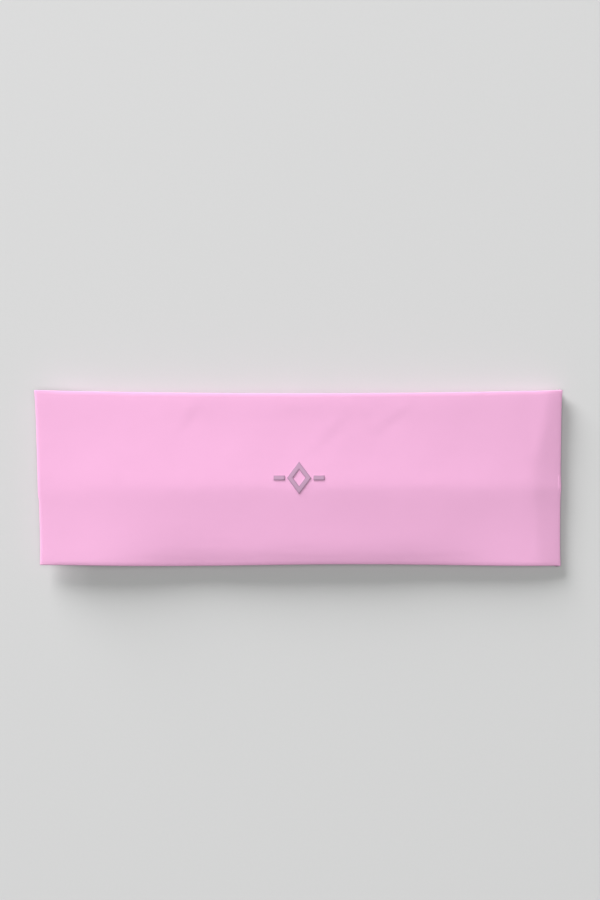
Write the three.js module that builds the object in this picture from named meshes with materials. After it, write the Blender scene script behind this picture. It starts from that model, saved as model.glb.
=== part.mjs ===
// A stretch sports headband, lying flat on a table as a closed loop.
//
// One long rectangle of smooth knit is folded lengthwise and sewn into a flat tube: its two long
// edges meet in a seam that runs round the inside of the band, with the raw edges laid upward in
// the hollow between the layers. The two ends of the tube are then joined in a seam at the centre
// of the back. Laid flat, the rear of the loop rests on the table, and the front of the loop,
// with a raised mark at its middle, stands in a low crown above the opening for the head.
//
// Millimetres. X runs along the band, Y is the band's height on the head, and Z is up from the
// table. The origin is on the table, under the middle of the band.

import * as THREE from "three";

// ---- Driving dimensions -------------------------------------------------------------------

const flatLength = 228; // the loop laid flat, end to end
const bandHeight = 76; // top edge to bottom edge
const cloth = 0.6; // one layer of knit
const layerGap = 0.3; // between two layers of knit that lie on each other
const restHeight = 13.2; // table to the top of the front, at the middle of the band
const endBendRadius = 2.4; // inside radius where the loop turns round at each end
const rampLength = 40; // over which the front rises from each end to the crown

const seamDrop = 4.3; // the inner seam lies this far below the middle of the band's height
const allowance = 5; // width of the raw edges beyond a seam
const overlockBead = 1; // width of the overlock thread that binds the raw edges

const backSeamGap = 0.3; // between the two ends of the panel
const backSeamWidth = 6.5; // the bound ends, laid to one side on the inside of the band
const backSeamInset = 2; // the bound ends stop this far inside the top and bottom edges
const seatGap = 0.3; // a piece that lies on the cloth is this far from it
const tackWidth = 2; // bar tack, across its stitches
const tackThickness = 0.4;
const tackInset = 3; // edge of the band to the middle of a bar tack

const labelLength = 20; // out of the back seam
const labelWidth = 16;
const labelThickness = 0.4;

const markFilm = 0.4; // thickness of the raised mark
const markStroke = 2;
const diamondWidth = 10.4;
const diamondHeight = 14;
const barLength = 4.8;
const barSpace = 1; // from the diamond's corner to each bar

// ---- Sizes that follow --------------------------------------------------------------------

// The wall of the band is a stack of four layers over the inner seam: the inside of the panel,
// the two raw edges, and the outside of the panel.
const layerPitch = cloth + layerGap;
const layerCentre = (n) => cloth / 2 + n * layerPitch;
const wall = layerCentre(3) + cloth / 2;
const seamHeight = -seamDrop;
const edgeRadius = (wall - cloth) / 2;
const edgeCentre = bandHeight / 2 - wall / 2;
const rearInside = wall; // Z of the inside face of the rear of the loop
const frontInside = restHeight - wall; // Z of the inside face of the front, at the crown
const bendCentre = flatLength / 2 - wall - endBendRadius; // X of the centre of each end bend

// ---- Materials ----------------------------------------------------------------------------

const finish = (color, roughness) => new THREE.MeshStandardMaterial({ color, roughness, metalness: 0 });
const pinkKnit = () => finish(0xf2b4dc, 0.78);
const pinkThread = () => finish(0xeaa8d2, 0.7);
const whiteSatin = () => finish(0xf3f1ee, 0.45);
const greyFilm = () => finish(0xc39cba, 0.55);

// ---- Helpers ------------------------------------------------------------------------------

function named(name, geometry, material) {
  const mesh = new THREE.Mesh(geometry, material);
  mesh.name = name;
  return mesh;
}

// The inside face of the loop, seen along Y: out from the back seam to the right on the table
// side, round the right end, back over the crown, round the left end and in to the back seam.
// Each stretch has its own number of steps, so the bends are finely divided and the straights
// are not.
class LoopPath extends THREE.Curve {
  constructor(stretches) {
    super();
    this.stretches = stretches;
    this.steps = stretches.reduce((sum, stretch) => sum + stretch.steps, 0);
  }

  getPoint(t, target = new THREE.Vector3()) {
    let along = t * this.steps;
    let index = 0;
    while (index < this.stretches.length - 1 && along > this.stretches[index].steps) {
      along -= this.stretches[index].steps;
      index += 1;
    }
    const { curve, steps } = this.stretches[index];
    const point = curve.getPoint(along / steps);
    return target.set(point.x, 0, point.y);
  }

  // Steps are counted by stretch and not by length.
  getUtoTmapping(u) {
    return u;
  }
}

function loopPath() {
  const straightSteps = 2;
  const rampSteps = 4;
  const bendSteps = 8;
  const at = (x, z) => new THREE.Vector2(x, z);
  const bendMiddle = rearInside + endBendRadius;
  const bendTop = rearInside + 2 * endBendRadius;
  const rampEnd = bendCentre - rampLength;
  const bend = (side) => {
    const start = side > 0 ? -Math.PI / 2 : Math.PI / 2;
    const centreX = side * bendCentre;
    return new THREE.EllipseCurve(centreX, bendMiddle, endBendRadius, endBendRadius, start, start + Math.PI);
  };
  const ramp = (fromX, fromZ, toX, toZ) => {
    const middleX = (fromX + toX) / 2;
    return new THREE.CubicBezierCurve(at(fromX, fromZ), at(middleX, fromZ), at(middleX, toZ), at(toX, toZ));
  };
  const line = (fromX, toX, z) => new THREE.LineCurve(at(fromX, z), at(toX, z));
  return new LoopPath([
    { curve: line(backSeamGap / 2, bendCentre, rearInside), steps: straightSteps },
    { curve: bend(1), steps: bendSteps },
    { curve: ramp(bendCentre, bendTop, rampEnd, frontInside), steps: rampSteps },
    { curve: line(rampEnd, -rampEnd, frontInside), steps: straightSteps },
    { curve: ramp(-rampEnd, frontInside, -bendCentre, bendTop), steps: rampSteps },
    { curve: bend(-1), steps: bendSteps },
    { curve: line(-bendCentre, -backSeamGap / 2, rearInside), steps: straightSteps },
  ]);
}

// A closed outline of even thickness along an open centre line.
function ribbonOutline(centreLine, thickness) {
  const left = [];
  const right = [];
  centreLine.forEach((point, i) => {
    const before = centreLine[Math.max(i - 1, 0)];
    const after = centreLine[Math.min(i + 1, centreLine.length - 1)];
    const arriving = point.clone().sub(before).normalize();
    const leaving = after.clone().sub(point).normalize();
    const along = arriving.clone().add(leaving).normalize();
    const halfCosine = Math.max(along.dot(i === 0 ? leaving : arriving), 0.5);
    const reach = thickness / 2 / halfCosine;
    const normal = new THREE.Vector2(-along.y, along.x).multiplyScalar(reach);
    left.push(point.clone().add(normal));
    right.push(point.clone().sub(normal));
  });
  return new THREE.Shape([...left, ...right.reverse()]);
}

// Sections are drawn with x from the inside face of the loop outward and y up the band's height.
function alongLoop(section) {
  const path = loopPath();
  return new THREE.ExtrudeGeometry(section, { steps: path.steps, extrudePath: path });
}

function withoutRepeats(points) {
  const smallest = 1e-6;
  return points.filter((point, i) => i === 0 || point.distanceTo(points[i - 1]) > smallest);
}

function roundedBox(width, height, radius) {
  const shape = new THREE.Shape();
  const x = width / 2 - radius;
  const y = height / 2 - radius;
  shape.absarc(x, -y, radius, -Math.PI / 2, 0);
  shape.absarc(x, y, radius, 0, Math.PI / 2);
  shape.absarc(-x, y, radius, Math.PI / 2, Math.PI);
  shape.absarc(-x, -y, radius, Math.PI, 1.5 * Math.PI);
  return shape;
}

// ---- The knit panel -----------------------------------------------------------------------

// The centre line of the folded panel, from one raw edge to the other.
function panelLine() {
  const inside = layerCentre(0);
  const firstEdge = layerCentre(1);
  const secondEdge = layerCentre(2);
  const foldRadius = layerPitch / 2;
  const edgeTip = seamHeight + allowance;
  const riser = seamHeight - layerPitch; // the second raw edge crosses the wall here
  const line = new THREE.Path();
  line.moveTo(firstEdge, edgeTip);
  line.lineTo(firstEdge, seamHeight + foldRadius);
  line.absarc(inside + foldRadius, seamHeight + foldRadius, foldRadius, 0, -Math.PI, true);
  line.lineTo(inside, edgeCentre);
  line.absarc(wall / 2, edgeCentre, edgeRadius, Math.PI, 0, true);
  line.lineTo(wall - cloth / 2, -edgeCentre);
  line.absarc(wall / 2, -edgeCentre, edgeRadius, 0, -Math.PI, true);
  line.lineTo(inside, riser - foldRadius);
  line.absarc(inside + foldRadius, riser - foldRadius, foldRadius, Math.PI, Math.PI / 2, true);
  line.lineTo(secondEdge - foldRadius, riser);
  line.absarc(secondEdge - foldRadius, riser + foldRadius, foldRadius, -Math.PI / 2, 0, false);
  line.lineTo(secondEdge, edgeTip);
  const arcDivisions = 4; // a Path gives a whole or part circle twice this many segments
  return withoutRepeats(line.getPoints(arcDivisions));
}

function knitPanel() {
  return named("knit_panel", alongLoop(ribbonOutline(panelLine(), cloth)), pinkKnit());
}

// ---- The seams ----------------------------------------------------------------------------

// The bead of overlock thread along the two raw edges, inside the wall, all the way round.
function lengthwiseOverlock() {
  const lowest = seamHeight + allowance + layerGap;
  const nearest = layerCentre(1) - cloth / 2;
  const furthest = layerCentre(2) + cloth / 2;
  const corners = [
    new THREE.Vector2(nearest, lowest),
    new THREE.Vector2(furthest, lowest),
    new THREE.Vector2(furthest, lowest + overlockBead),
    new THREE.Vector2(nearest, lowest + overlockBead),
  ];
  return named("lengthwise_overlock", alongLoop(new THREE.Shape(corners)), pinkThread());
}

// The two ends of the tube, four layers of knit bound together and laid to the left.
const backSeamThickness = 4 * cloth;
const backSeamBottom = rearInside + seatGap;
const backSeamTop = backSeamBottom + backSeamThickness;
const backSeamRight = backSeamGap / 2 + cloth;

function backSeam() {
  const length = bandHeight - 2 * backSeamInset;
  const section = roundedBox(backSeamWidth, backSeamThickness, cloth);
  const curveSegments = 4;
  const geometry = new THREE.ExtrudeGeometry(section, { depth: length, bevelEnabled: false, curveSegments });
  const mesh = named("back_seam_overlock", geometry, pinkThread());
  mesh.rotation.x = Math.PI / 2;
  mesh.position.set(backSeamRight - backSeamWidth / 2, length / 2, (backSeamBottom + backSeamTop) / 2);
  return mesh;
}

// A bar tack near each edge of the band keeps the bound ends from turning up.
function barTack(name, side) {
  const geometry = new THREE.BoxGeometry(backSeamWidth - 2 * cloth, tackWidth, tackThickness);
  const mesh = named(name, geometry, pinkThread());
  const height = side * (bandHeight / 2 - tackInset - tackWidth / 2);
  const top = backSeamTop + seatGap + tackThickness / 2;
  mesh.position.set(backSeamRight - backSeamWidth / 2, height, top);
  return mesh;
}

// ---- The label ----------------------------------------------------------------------------

// A folded satin label, caught in the back seam and lying on the inside of the band. It is blank.
function careLabel() {
  const geometry = new THREE.BoxGeometry(labelLength, labelWidth, labelThickness);
  const mesh = named("care_label", geometry, whiteSatin());
  const middle = backSeamRight + seatGap + labelLength / 2;
  mesh.position.set(middle, 0, rearInside + seatGap + labelThickness / 2);
  return mesh;
}

// ---- The raised mark ----------------------------------------------------------------------

// A plain hollow diamond between two short bars, as three separate pieces of film.
function film(name, shape, x) {
  const mesh = named(name, new THREE.ExtrudeGeometry(shape, { depth: markFilm, bevelEnabled: false }), greyFilm());
  mesh.position.set(x, 0, restHeight + seatGap);
  return mesh;
}

function diamondOutline(Outline, width, height) {
  const corners = [
    new THREE.Vector2(width / 2, 0),
    new THREE.Vector2(0, height / 2),
    new THREE.Vector2(-width / 2, 0),
    new THREE.Vector2(0, -height / 2),
  ];
  return new Outline(corners);
}

function raisedMark() {
  const diamond = diamondOutline(THREE.Shape, diamondWidth, diamondHeight);
  const slope = Math.hypot(diamondWidth, diamondHeight);
  const innerWidth = diamondWidth - (2 * markStroke * slope) / diamondHeight;
  const innerHeight = diamondHeight - (2 * markStroke * slope) / diamondWidth;
  diamond.holes.push(diamondOutline(THREE.Path, innerWidth, innerHeight));
  const bar = () => new THREE.Shape([
    new THREE.Vector2(-barLength / 2, -markStroke / 2),
    new THREE.Vector2(barLength / 2, -markStroke / 2),
    new THREE.Vector2(barLength / 2, markStroke / 2),
    new THREE.Vector2(-barLength / 2, markStroke / 2),
  ]);
  const barPlace = diamondWidth / 2 + barSpace + barLength / 2;
  return [
    film("mark_left_bar", bar(), -barPlace),
    film("mark_diamond", diamond, 0),
    film("mark_right_bar", bar(), barPlace),
  ];
}

// ---- The headband -------------------------------------------------------------------------

const headband = new THREE.Group();
headband.add(knitPanel(), lengthwiseOverlock(), backSeam(), careLabel());
headband.add(barTack("upper_bar_tack", 1), barTack("lower_bar_tack", -1));
headband.add(...raisedMark());

export default headband;
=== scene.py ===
# %% [markdown]
# # A stretch sports headband, lying flat
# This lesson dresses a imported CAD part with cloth. The part is a wide headband: a long rectangle
# of smooth pink knit, folded lengthwise, sewn into a flat tube and closed into a loop. It lies on
# a table with its front, which carries a small raised mark, facing up. The CAD part says where
# everything is; here every piece gets the shape and the finish of the real cloth, thread, satin
# and film. Lengths are in metres, and `MM` turns millimetres into them.

# %% The frame
import math

import bmesh
import bpy
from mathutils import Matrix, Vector, noise
from mathutils.bvhtree import BVHTree
from mathutils.geometry import interpolate_bezier


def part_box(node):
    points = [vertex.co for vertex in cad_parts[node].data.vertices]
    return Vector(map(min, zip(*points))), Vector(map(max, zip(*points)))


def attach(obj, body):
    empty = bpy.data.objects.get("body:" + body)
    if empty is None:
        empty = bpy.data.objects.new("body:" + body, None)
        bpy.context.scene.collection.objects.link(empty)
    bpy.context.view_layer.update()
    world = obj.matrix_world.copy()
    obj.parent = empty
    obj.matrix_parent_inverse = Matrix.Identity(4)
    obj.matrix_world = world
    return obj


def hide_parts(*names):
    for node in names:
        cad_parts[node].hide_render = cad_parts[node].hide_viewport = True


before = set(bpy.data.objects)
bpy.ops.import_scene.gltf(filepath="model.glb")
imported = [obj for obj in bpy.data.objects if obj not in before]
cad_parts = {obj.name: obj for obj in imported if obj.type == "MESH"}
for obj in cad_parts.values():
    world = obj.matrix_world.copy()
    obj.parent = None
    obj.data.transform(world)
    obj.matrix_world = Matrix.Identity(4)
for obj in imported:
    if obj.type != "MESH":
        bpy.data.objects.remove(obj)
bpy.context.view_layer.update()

MM = 0.001

# %% [markdown]
# ## The room
# The headband lies on a plain pale table and is seen from straight above. A large soft light
# hangs low, beyond the top left corner, so the shadow falls down and to the right with a wide
# soft edge. A weaker lamp overhead and a dim even world fill that shadow. A long lens from far
# away keeps the edges straight. The view transform is the plain one, so colours come out as the
# materials say.

# %% Camera
VIEW_HEIGHT = 390.2 * MM  # what the camera sees from top to bottom, at the headband's edges
EDGE_LEVEL = 8 * MM  # how high those edges are, above the table
VIEW_MIDDLE = Vector((0.4 * MM, 12 * MM, 0))
LENS = 100
SENSOR = 36
NEAREST, FARTHEST = 0.01, 50


def make_camera():
    data = bpy.data.cameras.new("camera")
    data.lens, data.sensor_width = LENS, SENSOR
    data.clip_start, data.clip_end = NEAREST, FARTHEST
    camera = bpy.data.objects.new("camera", data)
    distance = VIEW_HEIGHT / 2 * LENS / (SENSOR / 2)
    camera.location = VIEW_MIDDLE + Vector((0, 0, EDGE_LEVEL + distance))
    bpy.context.scene.collection.objects.link(camera)
    bpy.context.scene.camera = camera
    return camera


camera = make_camera()
bpy.context.scene.view_settings.view_transform = "Standard"
print("the camera hangs", round(camera.location.z, 3), "m above the table")

# %% Light
KEY_TOWARDS = Vector((-0.505, 0.778, 0.375)).normalized()  # from the headband towards the light
KEY_DISTANCE, KEY_SIZE, KEY_POWER = 6.0, 4.3, 648
KEY_TINT = (1.0, 0.985, 1.0)
FILL_HEIGHT, FILL_SIZE, FILL_POWER = 3.5, 1.9, 66
FILL_TINT = (0.968, 1.0, 0.974)
WORLD_LIGHT = 0.155
BACKDROP_TONE = 0.62


def soft_light(name, towards, distance, size, power, tint):
    """A round lamp that hangs in one direction and looks back at the headband."""
    data = bpy.data.lights.new(name, "AREA")
    data.shape, data.size, data.energy, data.color = "DISK", size, power, tint
    lamp = bpy.data.objects.new(name, data)
    lamp.location = towards * distance
    lamp.rotation_mode = "QUATERNION"
    lamp.rotation_quaternion = towards.to_track_quat("Z", "Y")
    bpy.context.scene.collection.objects.link(lamp)


def make_world():
    """A dim even light, behind a paler backdrop that is only for looking at."""
    world = bpy.data.worlds.new("even_grey")
    world.use_nodes = True
    tree = world.node_tree
    looked_at = tree.nodes.new("ShaderNodeLightPath").outputs["Is Camera Ray"]
    strength = tree.nodes.new("ShaderNodeMapRange")
    strength.inputs["To Min"].default_value = WORLD_LIGHT
    strength.inputs["To Max"].default_value = BACKDROP_TONE
    tree.links.new(looked_at, strength.inputs["Value"])
    background = tree.nodes["Background"]
    background.inputs["Color"].default_value = (1, 1, 1, 1)
    tree.links.new(strength.outputs["Result"], background.inputs["Strength"])
    bpy.context.scene.world = world


soft_light("soft_key", KEY_TOWARDS, KEY_DISTANCE, KEY_SIZE, KEY_POWER, KEY_TINT)
soft_light("overhead_fill", Vector((0, 0, 1)), FILL_HEIGHT, FILL_SIZE, FILL_POWER, FILL_TINT)
make_world()

# %% [markdown]
# ## Materials as sums
# A material is a small calculation done at every point of a surface. Wiring its nodes one by one
# is hard to read, so `Wire` wraps a socket and lets Python's operators add the Math nodes: with
# it, `1 - mask * 0.5` is two nodes. `Maker` holds one material and makes any other node.


# %% A small language for materials
class Wire:
    """A number, colour or direction on its way through a material."""

    def __init__(self, maker, socket):
        self.maker, self.socket = maker, socket

    def maths(self, operation, *others):
        return self.maker.maths(operation, self, *others)

    def __add__(self, other):
        return self.maths("ADD", other)

    def __mul__(self, other):
        return self.maths("MULTIPLY", other)

    def __sub__(self, other):
        return self.maths("SUBTRACT", other)

    def __rsub__(self, other):
        return self.maker.maths("SUBTRACT", other, self)

    def __truediv__(self, other):
        return self.maths("DIVIDE", other)

    __radd__, __rmul__ = __add__, __mul__

    def wave(self):
        """Rises from 0 to 1 and falls back as this goes from one whole number to the next."""
        return (self.maths("FRACT") * math.pi).maths("SINE")

    def step(self, start, end):
        """0 up to start, 1 from end on, and a soft slope between them."""
        settings = {"interpolation_type": "SMOOTHSTEP"}
        values = {"Value": self, "From Min": start, "From Max": end}
        return self.maker.node("ShaderNodeMapRange", settings, values)


class Maker:
    """One material, and the nodes that are added to it."""

    def __init__(self, name):
        self.material = bpy.data.materials.new(name)
        self.material.use_nodes = True
        self.tree = self.material.node_tree
        self.shader = self.tree.nodes["Principled BSDF"]

    def node(self, kind, settings, values, output=0):
        made = self.tree.nodes.new(kind)
        for key, setting in settings.items():
            setattr(made, key, setting)
        for key, value in values.items():
            self.put(value, made.inputs[key])
        return Wire(self, made.outputs[output])

    def put(self, value, socket):
        if isinstance(value, Wire):
            self.tree.links.new(value.socket, socket)
        else:
            socket.default_value = value

    def maths(self, operation, *values):
        return self.node("ShaderNodeMath", {"operation": operation}, dict(enumerate(values)))

    def finish(self, **values):
        """Sets the shader's own sockets: Base_Color means the socket Base Color."""
        for key, value in values.items():
            self.put(value, self.shader.inputs[key.replace("_", " ")])
        return self.material

    def place_on(self, uv_map):
        """How far along and how far across a piece of cloth or thread a point is, in metres."""
        both = self.node("ShaderNodeUVMap", {"uv_map": uv_map}, {})
        along = self.node("ShaderNodeSeparateXYZ", {}, {"Vector": both})
        return along, Wire(self, along.socket.node.outputs["Y"])

    def place(self):
        return self.node("ShaderNodeTexCoord", {}, {}, "Object")

    def mottle(self, scale, detail=2.0, roughness=0.5):
        """An uneven cloudiness around 0.5, with patches of about 1 / scale metres."""
        values = {"Vector": self.place(), "Scale": scale, "Detail": detail, "Roughness": roughness}
        return self.node("ShaderNodeTexNoise", {}, values)

    def mix(self, share, first, second):
        values = {0: share, 6: first, 7: second}
        return self.node("ShaderNodeMix", {"data_type": "RGBA"}, values, 2)

    def bump(self, height, distance, strength=1.0):
        values = {"Height": height, "Distance": distance, "Strength": strength}
        return self.node("ShaderNodeBump", {}, values)


def shade(colour, share):
    """The same colour, darker or lighter."""
    return (*[part * share for part in colour[:3]], 1.0)

# %% [markdown]
# ## The knit
# The cloth is a plain knit with its smooth side out: columns of small Vs, called wales, that run
# across the band, because a knit stretches most at right angles to them. They could be modelled
# thread by thread, but there are about 260,000 stitches, so they are bump. Each V is a wave along
# the wale that is pushed back at its middle, with a groove between the wales and a finer one down
# the middle of each. The colour is painted a little darker in the grooves and paler on the threads,
# as painted shade and light. The yarn's thickness drifts slowly along the cloth, and a light sheen
# stands for the fuzz on the surface.

# %% The knit's material
PINK = (0.756, 0.382, 0.603, 1.0)
WALE = 0.62 * MM  # from one column of stitches to the next
COURSE = 0.48 * MM  # from one row of stitches to the next
STITCH_DEPTH = 0.09 * MM
WANDER = 0.5 * MM  # how far a column of stitches strays from straight
GLOSS = 0.26
SHEEN, SHEEN_SPREAD, SHEEN_TINT = 0.18, 0.45, (1.0, 0.86, 0.95, 1.0)


def make_knit():
    knit = Maker("pink_knit")
    along, across = knit.place_on("cloth")
    wander = (knit.mottle(60) - 0.5) * WANDER
    side = ((along + wander) / WALE).maths("FRACT") * 2 - 1
    off_middle = side.maths("ABSOLUTE")
    stitch = (across / COURSE + off_middle * 0.62).wave()
    leg = (off_middle * 0.86 + 0.07).wave()  # each leg of the V is a rounded thread
    drift = knit.mottle(28, 3.0)
    fuzz = knit.mottle(2600, 2.0)
    height = stitch * 0.45 + leg * 0.55 + fuzz * 0.35
    depth = (stitch * 0.4 + leg * 0.6).step(0.0, 0.75)
    # Painted shade and light: the colour is darker in the grooves and paler on the thread crests;
    # drift and fuzz are the yarn's own uneven tone.
    tone = depth * 0.6 + drift * 0.25 + fuzz * 0.15
    return knit.finish(
        Base_Color=knit.mix(tone, shade(PINK, 0.93), shade(PINK, 1.035)),
        Roughness=0.86 - depth * 0.1 + drift * 0.06,
        Specular_IOR_Level=GLOSS,
        Sheen_Weight=SHEEN,
        Sheen_Roughness=SHEEN_SPREAD,
        Sheen_Tint=SHEEN_TINT,
        Normal=knit.bump(height, STITCH_DEPTH, 0.8),
    )


pink_knit = make_knit()
print("a square centimetre of the knit has", round(100 * MM * MM / WALE / COURSE), "stitches")

# %% [markdown]
# ## The loop
# Seen along the band's height, the headband is a long flat loop. `loop_leg` draws a stretch of
# its outside as a Bezier curve between two points, so the table side can be dead flat while the
# front lies on the spring of the two turns. The left turn is the crease that the cloth was
# folded on, and its underside leaves the table early, so light gets in under it; the right turn
# lies low, and the front slopes down into it.

# %% The loop's path
_, PANEL_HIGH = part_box("knit_panel")
HALF_LENGTH = PANEL_HIGH.x
HALF_HEIGHT = 38 * MM
TURNED, CREASED = 0.55, 0.36  # how much of the wall's thickness is left at its two turns
THINS_FROM, THIN_BY = 10 * MM, 2 * MM  # how far from an end the wall begins and ends to thin
FRONT_FROM = 6 * MM  # cloth as high as this moves with the front


def loop_leg(start, start_handle, end_handle, end, steps):
    """Points along one curved stretch, without its last, from places in millimetres."""
    knots = [Vector((x * MM, 0, z * MM)) for x, z in (start, start_handle, end_handle, end)]
    return interpolate_bezier(*knots, steps + 1)[:-1]


def make_path():
    end = HALF_LENGTH / MM
    path = loop_leg((0, 0), (35, 0), (70, 0), (103, 0), 48)
    path += loop_leg((103, 0), (109, 0), (end - 1.6, 0.2), (end - 0.9, 1.0), 12)
    path += loop_leg((end - 0.9, 1.0), (end - 0.6, 2.4), (end + 0.05, 6.0), (end + 0.05, 7.0), 14)
    path += loop_leg((end + 0.05, 7.0), (end - 0.1, 7.45), (106, 7.8), (100, 8.3), 20)
    path += loop_leg((100, 8.3), (84, 9.9), (45, 12.6), (8, 12.6), 50)
    path += loop_leg((8, 12.6), (-30, 12.6), (-70, 10.3), (1.6 - end, 9.4), 68)
    path += loop_leg((1.6 - end, 9.4), (0.4 - end, 9.37), (-end, 9), (-end, 8.3), 7)
    path += loop_leg((-end, 8.3), (-end, 7.5), (0.8 - end, 7.1), (2.2 - end, 6.9), 7)
    path += loop_leg((2.2 - end, 6.9), (8 - end, 5.9), (-101, 0), (-87, 0), 28)
    path += loop_leg((-87, 0), (-60, 0), (-30, 0), (0, 0), 42)
    return path


path = make_path()
COLUMNS = len(path)
path.append(path[0].copy())
steps_along = [(b - a).length for a, b in zip(path, path[1:])]
LOOP_LENGTH = sum(steps_along)
print("the loop has", COLUMNS, "columns and is", round(LOOP_LENGTH / MM, 1), "mm round")


# %% Which way is out, and how far a column is round to the front
def column(index):
    """A place on the path, and the way out of the loop there."""
    before, after = path[(index - 1) % COLUMNS], path[(index + 1) % COLUMNS]
    forward = (after - before).normalized()
    return path[index], Vector((forward.z, 0, -forward.x))


def smooth(value, start, end):
    """0 up to start, 1 from end on, and a soft slope between them."""
    share = min(1.0, max(0.0, (value - start) / (end - start)))
    return share * share * (3 - 2 * share)


def frontness(place):
    """0 where a column lies on the table, 1 where it is high enough to belong to the front."""
    return min(1.0, place.z / FRONT_FROM)


def creased(place):
    """The share of the wall's thickness that is left at a place: less at the two ends."""
    nearest = smooth(abs(place.x), HALF_LENGTH - THINS_FROM, HALF_LENGTH - THIN_BY)
    return 1 - (1 - (TURNED if place.x > 0 else CREASED)) * nearest

# %% [markdown]
# ## Across the cloth
# The rectangle was cut about 168 mm wide. Folded, it runs from one raw edge, inside the wall,
# round the inner seam, up the inner face, over the top fold, down the outer face, under the
# bottom fold and back up to the seam, where the second raw edge lies on the first. `cut_line`
# lists that route as places across the band and depths into the wall, one for each row of the
# cloth: close together round the folds and wider apart on the flat.

# %% The cloth's route across the band
CLOTH = 0.6 * MM
SEAM_DROP = 4.3 * MM  # the inner seam, below the middle of the band
ALLOWANCE = 5 * MM  # from the seam to the raw edges
BARE_WALL = 2.3 * MM
RIDGE = 0.95 * MM  # what the raw edges add to the wall
TOP_FOLD = 0.32 * MM  # how far a fold stands out past the flat of the wall
BOTTOM_FOLD = 0.32 * MM
FIRST_EDGE, SECOND_EDGE = 2.1 * CLOTH, 2.2 * CLOTH  # how deep in the wall each raw edge lies


def wall_at(across):
    """The wall's thickness from face to face: more over the raw edges than elsewhere."""
    lower, upper = -SEAM_DROP, ALLOWANCE - SEAM_DROP
    rise = smooth(across, lower - 3 * MM, lower + MM) - smooth(across, upper, upper + 4 * MM)
    return BARE_WALL + RIDGE * rise


def arc_round(middle, reach, depth_from, depth_to, steps):
    """A fold: round from one depth to another, standing out by reach at its middle."""
    centre, radius = (depth_from + depth_to) / 2, (depth_from - depth_to) / 2
    angles = [math.pi * step / steps for step in range(steps + 1)]
    return [(middle + reach * math.sin(turn), centre + radius * math.cos(turn)) for turn in angles]


def flat_run(start, end, depth, steps):
    """Evenly spaced places without the first and last, at a depth worked out from each."""
    places = [start + (end - start) * step / steps for step in range(1, steps)]
    return [(place, depth(place)) for place in places]


def cut_line():
    top, bottom = HALF_HEIGHT - TOP_FOLD, BOTTOM_FOLD - HALF_HEIGHT
    seam, raw = -SEAM_DROP, ALLOWANCE - SEAM_DROP
    route = [(raw, FIRST_EDGE)]
    route += flat_run(raw, seam, lambda place: FIRST_EDGE, 4)
    route += arc_round(seam, -CLOTH, FIRST_EDGE, 0, 6)
    route += flat_run(seam, top, lambda place: 0, 18)
    route += arc_round(top, TOP_FOLD, 0, BARE_WALL, 10)
    route += flat_run(top, bottom, wall_at, 46)
    route += arc_round(bottom, -BOTTOM_FOLD, BARE_WALL, 0, 10)
    route += flat_run(bottom, seam - 2 * CLOTH, lambda place: 0, 14)
    route += [(seam - 1.7 * CLOTH, 0.1 * CLOTH), (seam - CLOTH, CLOTH), (seam, SECOND_EDGE)]
    route += flat_run(seam, raw, lambda place: SECOND_EDGE, 4)
    return route + [(raw, SECOND_EDGE)]


route = cut_line()
ROWS = len(route)
widths = [math.dist(a, b) for a, b in zip(route, route[1:])]

# %% [markdown]
# ## How the front lies
# The front isn't flat: the raw edges under it lift a soft crest just above the inner seam, and
# from there the cloth slopes down to the bottom fold, most of all in the middle of the band. A
# slope is what the eye reads as shading, so the shape is given as slopes, in degrees, at a few
# places across the band, for its left end, middle and right end. `slope_profile` adds them up
# into heights.

# %% The slopes of the front
SLOPES = {  # place across the band in millimetres: how steeply the cloth falls towards the bottom
    "left": {38: -1, 35: -0.5, 32: 0.4, 28: 0.5, 18: -0.7, 0: -1.1, -2: -0.8, -6: 1.2, -10: 2.6,
             -14: 1.6, -20: 0.8, -31: -0.3, -35: 0.5, -38: 2},
    "middle": {38: -1, 35: -0.6, 32: 1.1, 29: 1.8, 24: 0.6, 15: -0.4, 8: -1.1, 0: -1.9, -2: -1,
               -4: 1.9, -6: 4.2, -8.5: 5.5, -11: 5.7, -25: 4.8, -30: 6.4, -33: 10.5, -35: 14.5,
               -36.5: 13, -38: 8},
    "right": {38: -1, 35: -0.5, 32: 0.6, 29: 0.9, 22: 0, 8: -0.6, 0: -1.2, -2: -0.8, -4: 1.4,
              -6: 3.9, -8.5: 5.3, -10.5: 5.3, -14: 4.4, -25: 2.8, -31: 2.4, -35: 2.4, -38: 3},
}
PROFILE_STEP = 0.5 * MM


def between(stops, value):
    """The value of a line through the stops, which are given as place: value, falling."""
    places = list(stops)
    for high, low in zip(places, places[1:]):
        if value >= low:
            share = (value - low) / (high - low)
            return stops[low] + (stops[high] - stops[low]) * min(1.0, share)
    return stops[places[-1]]


def slope_profile(stops):
    """Heights across the band, from its bottom to its top, that are 0 at the middle."""
    count = round(2 * HALF_HEIGHT / PROFILE_STEP)
    heights = [0.0]
    for index in range(count):
        across = -HALF_HEIGHT + (index + 0.5) * PROFILE_STEP
        slope = math.radians(between(stops, across / MM))
        heights.append(heights[-1] + math.tan(slope) * PROFILE_STEP)
    return [height - heights[count // 2] for height in heights]


PROFILES = {name: slope_profile(stops) for name, stops in SLOPES.items()}


def height_in(name, across):
    """The height of one of the profiles at a place across the band."""
    profile = PROFILES[name]
    share = min(1.0, max(0.0, (across + HALF_HEIGHT) / (2 * HALF_HEIGHT)))
    place = share * (len(profile) - 1)
    low = min(int(place), len(profile) - 2)
    return profile[low] + (profile[low + 1] - profile[low]) * (place - low)


for name in PROFILES:
    bottom, top = -height_in(name, -HALF_HEIGHT) / MM, -height_in(name, HALF_HEIGHT) / MM
    print(name, "falls", round(bottom, 1), "mm to the bottom and", round(top, 1), "to the top")

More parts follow.
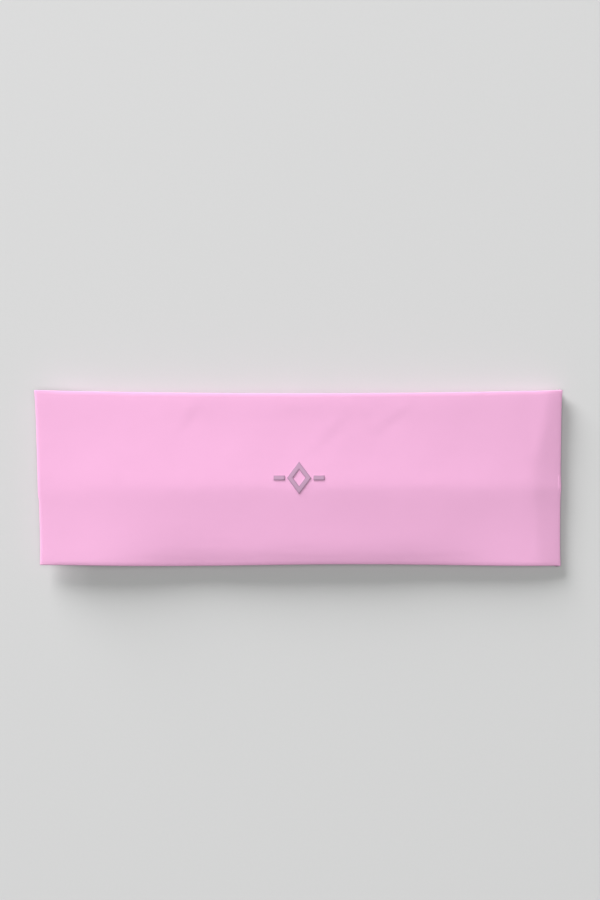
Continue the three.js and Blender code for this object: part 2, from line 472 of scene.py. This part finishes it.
# %% [markdown]
# Small things make the cloth look handled rather than machined: a few faint slanting wrinkles
# near the top edge, where it was pinched, a slow unevenness of about a tenth of a millimetre, a
# top edge that bows in a little between its corners, and ends that aren't quite square.

# %% Small unevenness
WRINKLES = ((-48, 26, 16, 60), (14, 20, 24, 47), (40, 25, 16, 38))  # x, y, length, angle
WRINKLE_HEIGHT = 0.12 * MM
WRINKLE_WIDTH = 3.2 * MM
UNEVEN_HEIGHT = 0.17 * MM
UNEVEN_SIZE = 24 * MM
FINE_HEIGHT = 0.03 * MM
FINE_SIZE = 6 * MM
LEFT_END = -92 * MM, -38 * MM  # the left profile fades into the middle one between these
RIGHT_END = 50 * MM, 98 * MM  # and the middle one into the right one between these
FLATTENED = 0.35  # how much flatter the front lies at its right end
FLATTENING = 78 * MM, 113 * MM


def wrinkles(x, across):
    total = 0.0
    for middle_x, middle_y, length, angle in WRINKLES:
        turn = math.radians(angle)
        aside = Vector((x - middle_x * MM, across - middle_y * MM))
        along = aside.dot(Vector((math.cos(turn), math.sin(turn)))) / (length * MM / 2)
        off = aside.dot(Vector((-math.sin(turn), math.cos(turn)))) / WRINKLE_WIDTH
        total += off * math.exp(-along * along - off * off) * 1.6
    return total * WRINKLE_HEIGHT


def unevenness(x, across):
    place = Vector((x, across, 0))
    slow = noise.noise(place / UNEVEN_SIZE) * UNEVEN_HEIGHT
    return slow + noise.noise(place / FINE_SIZE) * FINE_HEIGHT


def front_height(x, across):
    """How far the front is above the loop's path and wall at a place seen from above."""
    left, right = 1 - smooth(x, *LEFT_END), smooth(x, *RIGHT_END)
    height = height_in("left", across) * left + height_in("right", across) * right
    height += height_in("middle", across) * (1 - left - right)
    height *= 1 - FLATTENED * smooth(x, *FLATTENING)
    return height + wrinkles(x, across) + unevenness(x, across)


END_SLOPE = math.tan(math.radians(9.7))
END_START = 102 * MM  # where the slope begins on the crest
END_SOFTNESS = 1.2 * MM
TOP_LATER, BOTTOM_LATER = 6.5 * MM, 2.5 * MM  # how much nearer the end it begins at the corners


def end_fall(x, across):
    """How far the front has sloped down into the right turn: least at the end's top corner."""
    start = END_START + TOP_LATER * smooth(across, -2 * MM, HALF_HEIGHT)
    start += BOTTOM_LATER * smooth(-across, 8 * MM, 34 * MM)
    past = (x - start) / END_SOFTNESS
    return END_SLOPE * END_SOFTNESS * math.log1p(math.exp(min(past, 30)))


FLARE = 0.45 * MM  # how far a corner points outwards
TOP_BOW = 1.5 * MM
BOTTOM_WAVE = 0.4 * MM


def outline_shift(x, across):
    """How far the folded cloth's true outline lies from a plain rectangle, along x and y."""
    share = across / HALF_HEIGHT
    out_left, out_right = max(0.0, -x / HALF_LENGTH) ** 4, max(0.0, x / HALF_LENGTH) ** 4
    lean = out_left * (1.1 * MM * (1 - share) - 0.5 * MM) - out_right * 0.6 * MM * (1 - share) / 2
    lean += out_left * 0.35 * MM * smooth(across, -7 * MM, -10 * MM)
    lean += out_right * 0.3 * MM * math.exp(-(((across + 4 * MM) / (3 * MM)) ** 2))
    corner = abs(share) ** 8
    lean += corner * (out_right ** 3 - out_left ** 3) * FLARE
    bow = -TOP_BOW * (1 - (x / HALF_LENGTH) ** 2) * max(0.0, share) ** 3
    wave = BOTTOM_WAVE * math.sin((x / MM + 18) / 26) * max(0.0, -share) ** 3
    return lean, bow + wave


# %% [markdown]
# ## Folding the cloth
# The cloth starts as what it was on the cutting table: one flat grid. Its UV map is written while
# it is flat, so the knit follows the threads wherever the cloth goes. Then every row and column
# is taken to its place: the column says where on the loop, the row says where across the band and
# how deep in the wall. A simulation could fold it too, but a seam sewn under no strain lies the
# same way every time, and the shading asks for exact slopes. Solidify gives it its thickness.

# %% The folded panel
columns = [column(index) for index in range(COLUMNS)]


def flat_cloth():
    """A grid of the cloth, one vertex for each row and column, with its flat size as its UV map."""
    cloth = bmesh.new()
    bmesh.ops.create_grid(cloth, x_segments=COLUMNS, y_segments=ROWS - 1, size=1)
    cloth.verts.index_update()
    uv = cloth.loops.layers.uv.new("cloth")
    alongs = [sum(steps_along[:index]) for index in range(COLUMNS + 1)]
    acrosses = [sum(widths[:index]) for index in range(ROWS)]
    for face in cloth.faces:
        for corner in face.loops:
            row, place = divmod(corner.vert.index, COLUMNS + 1)
            corner[uv].uv = alongs[place], acrosses[row]
    return cloth


TABLE_TOUCH = 0.02 * MM  # the lowest that any cloth lies
BACK_GATHER = 0.5 * MM  # how far the band draws in where its back seam is sewn
GATHER_REACH = 4 * MM
FOLDED_CLOTH, BUNDLED_CLOTH = CLOTH * 0.92, CLOTH * 0.86  # a layer is thinner where it is pressed


def place_in_wall(index, across, depth):
    """A place in the lying band: a column of the loop, how far across, and how deep in the wall."""
    place, outward = columns[index % COLUMNS]
    point = place - outward * (wall_at(across) - depth) * creased(place)
    front = frontness(place)
    point.z += front * (front_height(point.x, across) - end_fall(point.x, across))
    lean, bow = outline_shift(point.x, across)
    gather = BACK_GATHER * math.exp(-((point.x / GATHER_REACH) ** 2)) * (1 - front)
    height = max(point.z, TABLE_TOUCH)
    return Vector((point.x + lean, across + bow - math.copysign(gather, across), height))


def as_piece(name, shape, material):
    """Turns a bmesh into a finished piece that rides with the headband."""
    mesh = bpy.data.meshes.new(name)
    shape.to_mesh(mesh)
    shape.free()
    mesh.materials.append(material)
    mesh.shade_smooth()
    piece = bpy.data.objects.new(name, mesh)
    bpy.context.scene.collection.objects.link(piece)
    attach(piece, "root")
    return piece


def thicken(piece, thickness, offset):
    layer = piece.modifiers.new("thickness", "SOLIDIFY")
    layer.thickness, layer.offset = thickness, offset


def make_panel():
    cloth = flat_cloth()
    for vertex in cloth.verts:
        row, index = divmod(vertex.index, COLUMNS + 1)
        vertex.co = place_in_wall(index, *route[row])
    bmesh.ops.remove_doubles(cloth, verts=cloth.verts, dist=0.001 * MM)
    piece = as_piece("folded_knit_panel", cloth, pink_knit)
    thicken(piece, FOLDED_CLOTH, -1)
    return piece


panel = make_panel()
panel_heights = [vertex.co.z for vertex in panel.data.vertices]
print("the panel lies up to", round(max(panel_heights) / MM, 2), "mm above the table")

# %% [markdown]
# ## Thread
# Overlock, needle lines and bar tacks are all sewn with one soft spun thread, a touch deeper than
# the cloth. A sewn thread is a tube along a route, so it is a curve of short straight steps with
# a small round section, turned into a mesh. A twist would need its own geometry; at this size a
# fine uneven bump says the same.

# %% The thread's material and tubes of thread
THREAD = 0.15 * MM  # its radius
THREAD_PINK = shade(PINK, 0.88)


def make_thread_material():
    thread = Maker("pink_thread")
    fibre = thread.mottle(3200, 2.0)
    tone = thread.mix(fibre, shade(THREAD_PINK, 0.86), shade(THREAD_PINK, 1.08))
    return thread.finish(
        Base_Color=tone,
        Roughness=0.52 + fibre * 0.2,
        Specular_IOR_Level=0.4,
        Sheen_Weight=0.15,
        Normal=thread.bump(fibre, 0.05 * MM, 0.7),
    )


pink_thread = make_thread_material()


def thread_piece(name, runs, radius=THREAD):
    """One piece made of several runs of thread: each is a list of places and whether it closes."""
    curve = bpy.data.curves.new(name, "CURVE")
    curve.dimensions, curve.bevel_depth, curve.bevel_resolution = "3D", radius, 1
    curve.use_fill_caps = True
    for places, closes in runs:
        spline = curve.splines.new("POLY")
        spline.points.add(len(places) - 1)
        spline.use_cyclic_u = closes
        for point, place in zip(spline.points, places):
            point.co = (*place, 1)
    drawn = bpy.data.objects.new(name + "_route", curve)
    bpy.context.scene.collection.objects.link(drawn)
    shape = bmesh.new()
    shape.from_mesh(bpy.data.meshes.new_from_object(drawn))
    bpy.data.objects.remove(drawn)
    return as_piece(name, shape, pink_thread)


STEPS_ROUND = 10  # straight steps in one turn of a winding
SQUARENESS = 0.6  # below 1, a turn is flatter than an ellipse


def winding(frames, half_width, half_depth, turns):
    """A thread wound round an edge: frames give places, the ways aside and up, and a squeeze."""
    steps = turns * STEPS_ROUND
    places = []
    for step in range(steps):
        place, aside, up, squeeze = frames(step / steps)
        turn = 2 * math.pi * step / STEPS_ROUND
        out, rise = math.cos(turn), math.sin(turn)
        flat_rise = math.copysign(abs(rise) ** SQUARENESS, rise)
        sideways = aside * out * half_width
        places.append(place + sideways + up * flat_rise * half_depth * squeeze)
    return places

# %% [markdown]
# ## The lengthwise seam's binding
# The tube's two raw edges lie together inside the wall, bound by a thread wound over them at
# every stitch. Nobody sees it, but it is what lifts the crest of the front, so it is here: one
# thread, wound round the edges all the way round the loop, a turn for each stitch.

# %% The lengthwise overlock
STITCH = 2.4 * MM
RAW_EDGE = ALLOWANCE - SEAM_DROP
BINDING_DEPTH = (FIRST_EDGE + SECOND_EDGE) / 2


def lengthwise_frame(share):
    """The raw edges' place, and the ways across the band and out of the wall, round the loop."""
    turned = share * COLUMNS
    index = int(turned) % COLUMNS
    low, high = (place_in_wall(i, RAW_EDGE, BINDING_DEPTH) for i in (index, index + 1))
    place, outward = columns[index]
    return low.lerp(high, turned - int(turned)), Vector((0, 1, 0)), outward, creased(place)


binding_turns = round(LOOP_LENGTH / STITCH)
lengthwise = thread_piece(
    "lengthwise_overlock_thread",
    [(winding(lengthwise_frame, 1.1 * MM, 0.62 * MM, binding_turns), True)],
)
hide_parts("lengthwise_overlock")
print("the lengthwise overlock has", binding_turns, "stitches")

# %% [markdown]
# ## The back seam
# The tube's two ends are sewn together at the middle of the back, and the bundle of four layers
# is bound with overlock and laid to one side on the inside of the loop. Each layer is a strip cut
# from a grid, laid on the one below it and over the lengthwise ridge, and turned down into the
# seam at its root.

# %% The layers of the back seam
SEAM_LOW, SEAM_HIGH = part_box("back_seam_overlock")
SEAM_WIDTH = SEAM_HIGH.x - SEAM_LOW.x
SEAM_LENGTH = SEAM_HIGH.y - SEAM_LOW.y
LAYER_STEP = 0.58 * MM
LAYERS = 4
BUNDLE = LAYERS * LAYER_STEP


def rear_face(across):
    """How high the inside of the rear wall is above the table."""
    return wall_at(across) + 0.1 * MM


def seam_layer(shape, layer, uv):
    """Adds one cloth strip of the bundle."""
    made = bmesh.ops.create_grid(shape, x_segments=12, y_segments=72, size=0.5)["verts"]
    for vertex in made:
        for corner in vertex.link_loops:
            corner[uv].uv = vertex.co.x * SEAM_WIDTH, vertex.co.y * SEAM_LENGTH
    for vertex in made:
        share = vertex.co.x + 0.5  # 0 at the raw edges, 1 at the sewn root
        across = vertex.co.y * SEAM_LENGTH
        height = rear_face(across) + (layer + 0.5) * LAYER_STEP
        height -= smooth(share, 0.86, 1.0) * (layer + 0.5) * LAYER_STEP * 0.8
        height += 0.12 * MM * noise.noise(Vector((share, across / (9 * MM), layer * 0.4)))
        ragged = 0.15 * MM * noise.noise(Vector((layer * 3.1, across / (2 * MM), 7)))
        root = SEAM_HIGH.x - 0.3 * MM - 0.1 * MM * layer
        x = root - (1 - share) * (SEAM_WIDTH - 0.9 * MM) + ragged * (1 - share)
        vertex.co = (x, across, height)


def make_seam_layers():
    bundle = bmesh.new()
    uv = bundle.loops.layers.uv.new("cloth")
    for layer in range(LAYERS):
        seam_layer(bundle, layer, uv)
    piece = as_piece("back_seam_layers", bundle, pink_knit)
    thicken(piece, BUNDLED_CLOTH, 0)
    return piece


seam_layers = make_seam_layers()


# %% Its overlock and needle line
SEWN_FROM = SEAM_LOW.y + 1 * MM  # the stitches stop short of both edges
SEWN_LENGTH = SEAM_LENGTH - 2 * MM
NEEDLE_HOLE = 0.22 * MM


def seam_frame(share):
    """The middle of the bundle, and the ways across it and up, along the back seam."""
    across = SEWN_FROM + share * SEWN_LENGTH
    middle = rear_face(across) + BUNDLE / 2
    place = Vector((SEAM_LOW.x + 2.0 * MM, across, middle))
    return place, Vector((1, 0, 0)), Vector((0, 0, 1)), 1.0


def needle_line(x, stitches):
    """Straight stitches along the bundle: long on top, with a dip at each needle hole."""
    places = []
    for step in range(stitches * 4 + 1):
        across = SEWN_FROM + SEWN_LENGTH * step / (stitches * 4)
        top = rear_face(across) + BUNDLE + 0.02 * MM
        places.append(Vector((x, across, top - (NEEDLE_HOLE if step % 4 == 0 else 0))))
    return places


seam_turns = round(SEAM_LENGTH / STITCH)
seam_thread = thread_piece("back_seam_overlock_thread", [
    (winding(seam_frame, 1.75 * MM, BUNDLE / 2 + 0.1 * MM, seam_turns), False),
    (needle_line(SEAM_LOW.x + 3.9 * MM, seam_turns), False),
    (needle_line(SEAM_LOW.x + 5.6 * MM, seam_turns), False),
])
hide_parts("back_seam_overlock")
print("the back seam has", LAYERS, "layers and", seam_turns, "stitches")

# %% [markdown]
# ## Bar tacks
# Near each edge a short dense zigzag holds the bundle down, so that it doesn't roll. It is one
# thread going to and fro, each pass close beside the last.

# %% The two bar tacks
TACK_PASSES = 15
ONE_PASS = (  # share of the way from the tack's middle to its edge, then millimetres on and up
    (1, 0, -0.12),
    (0.5, 0.09, 0.16),
    (0, 0.13, 0.2),
    (-0.5, 0.16, 0.16),
)


def bar_tack(node):
    """A thread that goes to and fro over the bundle, inside the tack's box."""
    low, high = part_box(node)
    middle, half = (low.y + high.y) / 2, (high.y - low.y) / 2
    top = rear_face(middle) + BUNDLE
    places = []
    for step in range(TACK_PASSES * 2 + 1):
        x = low.x + (high.x - low.x) * step / (TACK_PASSES * 2)
        side = -half if step % 2 else half
        for share, ahead, rise in ONE_PASS:
            places.append(Vector((x + ahead * MM, middle + side * share, top + rise * MM)))
    piece = thread_piece(node + "_thread", [(places, False)])
    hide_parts(node)
    return piece


tacks = [bar_tack(node) for node in ("upper_bar_tack", "lower_bar_tack")]
print("the bar tacks go to and fro", TACK_PASSES, "times")

# %% [markdown]
# ## The label
# A short satin ribbon, folded double, is caught in the back seam by its two ends. It carries no
# words. It starts as a flat strip, so that its UV map follows the ribbon through the fold, and
# lies over the lengthwise ridge. Satin shows long threads on its face: fine lines along the
# ribbon, given as a bump, with each thread's crest painted paler as a painted highlight and the
# small ties painted darker as painted shade.

# %% The label's satin
SATIN_DARK, SATIN_PALE = (0.6, 0.585, 0.585, 1), (0.76, 0.75, 0.74, 1)


def make_satin():
    satin = Maker("white_satin")
    along, across = satin.place_on("cloth")
    thread = (across / (0.16 * MM)).wave()
    tie = (along / (0.9 * MM) + across / (0.64 * MM)).wave().step(0.86, 1.0)
    slub = satin.mottle(240, 2.0)
    # Painted highlight and shade: the colour is paler on each thread's crest and darker at the
    # ties; the slub is the yarn's own uneven tone.
    tone = satin.mix(thread * 0.5 + slub * 0.4 - tie * 0.3, SATIN_DARK, SATIN_PALE)
    return satin.finish(
        Base_Color=tone,
        Roughness=0.3 + slub * 0.1 + tie * 0.15,
        Specular_IOR_Level=0.55,
        Sheen_Weight=0.1,
        Normal=satin.bump(thread - tie * 0.6, 0.03 * MM, 0.7),
    )


white_satin = make_satin()

# %% The folded label
LABEL_LOW, LABEL_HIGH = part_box("care_label")
SATIN = 0.14 * MM
LABEL_TAIL = 1.2 * MM  # what the seam holds of each end
LABEL_FOLD = 0.42 * MM  # how far apart the two halves lie
LABEL_RIPPLE = 0.5 * MM
LABEL_OPENING = 0.9  # how much further apart the halves lie at the free end
LABEL_STEPS = 30


def label_line():
    """The ribbon from end to end, as places along the label and heights over the rear wall."""
    start, end = LABEL_LOW.x - LABEL_TAIL, LABEL_HIGH.x - LABEL_FOLD
    there = [(start + (end - start) * step / LABEL_STEPS, 0) for step in range(LABEL_STEPS)]
    fold = arc_round(end, LABEL_FOLD / 2, LABEL_FOLD, 0, 8)[::-1]
    return there + fold + [(x, LABEL_FOLD) for x, _ in there[::-1]]


ribbon = label_line()
ribbon_steps = [math.dist(a, b) for a, b in zip(ribbon, ribbon[1:])]
LABEL_LENGTH, LABEL_WIDTH = sum(ribbon_steps), LABEL_HIGH.y - LABEL_LOW.y


def make_label():
    strip = bmesh.new()
    bmesh.ops.create_grid(strip, x_segments=len(ribbon) - 1, y_segments=24, size=0.5)
    strip.verts.index_update()
    uv = strip.loops.layers.uv.new("cloth")
    for face in strip.faces:
        for corner in face.loops:
            _, step = divmod(corner.vert.index, len(ribbon))
            corner[uv].uv = sum(ribbon_steps[:step]), corner.vert.co.y * LABEL_WIDTH
    for vertex in strip.verts:
        step = vertex.index % len(ribbon)
        (x, height), across = ribbon[step], vertex.co.y * LABEL_WIDTH
        free = smooth(x, LABEL_LOW.x, LABEL_HIGH.x)
        waviness = noise.noise(Vector((x / (11 * MM), across / (9 * MM), 3)))
        ripple = free * LABEL_RIPPLE * (0.5 + waviness)
        opened = 1 + LABEL_OPENING * free * (height / LABEL_FOLD)
        vertex.co = (x, across, rear_face(across) + SATIN + ripple + height * opened)
    piece = as_piece("satin_label", strip, white_satin)
    thicken(piece, SATIN, 0)
    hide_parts("care_label")


make_label()
print("the label was cut", round(LABEL_LENGTH / MM, 1), "x", round(LABEL_WIDTH / MM, 1), "mm")

# %% The panel's place in the part
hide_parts("knit_panel")

# %% [markdown]
# ## The mark
# Three small pieces of soft film are pressed onto the middle of the front: a bar, a hollow
# diamond and a bar. Each is modelled flat, with a softened top edge, and then let down onto the
# cloth by looking straight down for its height under every point, so it follows the crest. Its
# edge is painted darker, as painted shade.

# %% The film's material
FILM_DARK, FILM_PALE = (0.412, 0.244, 0.362, 1), (0.452, 0.276, 0.402, 1)
# The colour at the film's edge: a painted shade.
FILM_EDGE_SHADE = (0.288, 0.16, 0.252, 1)


def make_film():
    film = Maker("grey_film")
    rim = film.node("ShaderNodeAttribute", {"attribute_name": "rim"}, {}, "Fac")
    cloudy = film.mottle(500, 3.0)
    grain = film.mottle(5200, 1.0)
    face = film.mix(cloudy, FILM_DARK, FILM_PALE)
    # Painted shade: the film's colour darkens towards its rim.
    return film.finish(
        Base_Color=film.mix(rim * 0.75, face, FILM_EDGE_SHADE),
        Roughness=0.6 + cloudy * 0.12 - rim * 0.06,
        Specular_IOR_Level=0.3,
        Normal=film.bump(grain * 0.5 + cloudy * 0.5, 0.03 * MM, 0.5),
    )


grey_film = make_film()


# %% Shapes of film
FILM = 0.42 * MM
PRESSED_IN = 0.03 * MM  # how far the film sinks into the cloth
STROKE = 2 * MM
SOFT_EDGE = 0.16 * MM
STRIPS = 4  # how many strips a stroke is made of, so that it can follow the cloth


def flat_diamond(width, height):
    """A hollow diamond: a ring between a small and a large one, in narrow strips."""
    shape = bmesh.new()
    bmesh.ops.create_circle(shape, segments=4, radius=1)
    bmesh.ops.subdivide_edges(shape, edges=shape.edges, cuts=9)
    slant = math.hypot(width, height) / height  # a stroke is thicker measured along the width
    inner = Vector((width / 2 - STROKE * slant, height / 2 - STROKE * slant * height / width, 1))
    outer = Vector((width / 2, height / 2, 1))
    bmesh.ops.scale(shape, vec=inner, verts=shape.verts)
    ring = list(shape.edges)
    for step in range(STRIPS):
        grown = bmesh.ops.extrude_edge_only(shape, edges=ring)["geom"]
        ring = [item for item in grown if isinstance(item, bmesh.types.BMEdge)]
        corners = [item for item in grown if isinstance(item, bmesh.types.BMVert)]
        before, now = inner.lerp(outer, step / STRIPS), inner.lerp(outer, (step + 1) / STRIPS)
        bmesh.ops.scale(shape, vec=(now.x / before.x, now.y / before.y, 1), verts=corners)
    return shape


def flat_bar(width, height):
    shape = bmesh.new()
    bmesh.ops.create_grid(shape, x_segments=12, y_segments=STRIPS, size=0.5)
    bmesh.ops.scale(shape, vec=(width, height, 1), verts=shape.verts)
    return shape


def front_at(x, y):
    """The height of the cloth under a place, looking straight down."""
    hit, _, _, _ = cloth_tree.ray_cast(Vector((x, y, 1)), Vector((0, 0, -1)))
    return hit.z


def lay_film(node, shape):
    """Gives a flat shape its thickness and soft edge, and lets it down onto the cloth."""
    low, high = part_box(node)
    # rim is 1 on the edge vertices, where the film is painted darker as painted shade.
    rim = shape.verts.layers.float.new("rim")
    for vertex in shape.verts:
        vertex[rim] = 1.0 if vertex.is_boundary else 0.0
    border = [edge for edge in shape.edges if edge.is_boundary]
    sides = bmesh.ops.extrude_edge_only(shape, edges=border)["geom"]
    lowered = [item for item in sides if isinstance(item, bmesh.types.BMVert)]
    bmesh.ops.translate(shape, vec=(0, 0, -FILM), verts=lowered)
    bmesh.ops.recalc_face_normals(shape, faces=shape.faces)
    bmesh.ops.bevel(shape, geom=border, offset=SOFT_EDGE, offset_type="OFFSET", segments=2,
                    affect="EDGES", profile=0.5, material=-1, clamp_overlap=True)
    open_edges = [edge for edge in shape.edges if edge.is_boundary]
    bmesh.ops.triangle_fill(shape, edges=open_edges, use_beauty=True)
    middle = (low + high) / 2
    for vertex in shape.verts:
        x, y = vertex.co.x + middle.x, vertex.co.y + middle.y
        vertex.co = (x, y, front_at(x, y) + FILM - PRESSED_IN + vertex.co.z)
    bmesh.ops.recalc_face_normals(shape, faces=shape.faces)
    piece = as_piece(node + "_film", shape, grey_film)
    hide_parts(node)


# %% The mark's three pieces
cloth_tree = BVHTree.FromObject(panel, bpy.context.evaluated_depsgraph_get())
MARK = {"mark_left_bar": flat_bar, "mark_diamond": flat_diamond, "mark_right_bar": flat_bar}
for node, flat_shape in MARK.items():
    mark_low, mark_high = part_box(node)
    size = mark_high - mark_low
    lay_film(node, flat_shape(size.x, STROKE if flat_shape is flat_bar else size.y))
    print(node, "is", round(size.x / MM, 1), "mm wide")

# %% [markdown]
# ## The table
# A plain pale sheet, far larger than the view, so that no edge or horizon shows from any side.

# %% The table
FLOOR_SIZE = 6.0
FLOOR_TONE = (0.531, 0.530, 0.531, 1.0)
FLOOR_PATCHES = 0.015  # how much lighter and darker its faint mottling is


def make_floor():
    sheet = bmesh.new()
    bmesh.ops.create_grid(sheet, x_segments=1, y_segments=1, size=FLOOR_SIZE / 2)
    surface = Maker("pale_table")
    speckle = surface.mottle(900, 2.0)
    dark, pale = shade(FLOOR_TONE, 1 - FLOOR_PATCHES), shade(FLOOR_TONE, 1 + FLOOR_PATCHES)
    tone = surface.mix(speckle, dark, pale)
    mesh = bpy.data.meshes.new("table")
    sheet.to_mesh(mesh)
    sheet.free()
    mesh.materials.append(surface.finish(Base_Color=tone, Roughness=0.8 + speckle * 0.1))
    floor = bpy.data.objects.new("table", mesh)
    bpy.context.scene.collection.objects.link(floor)


make_floor()
print("the table is", FLOOR_SIZE, "m wide")
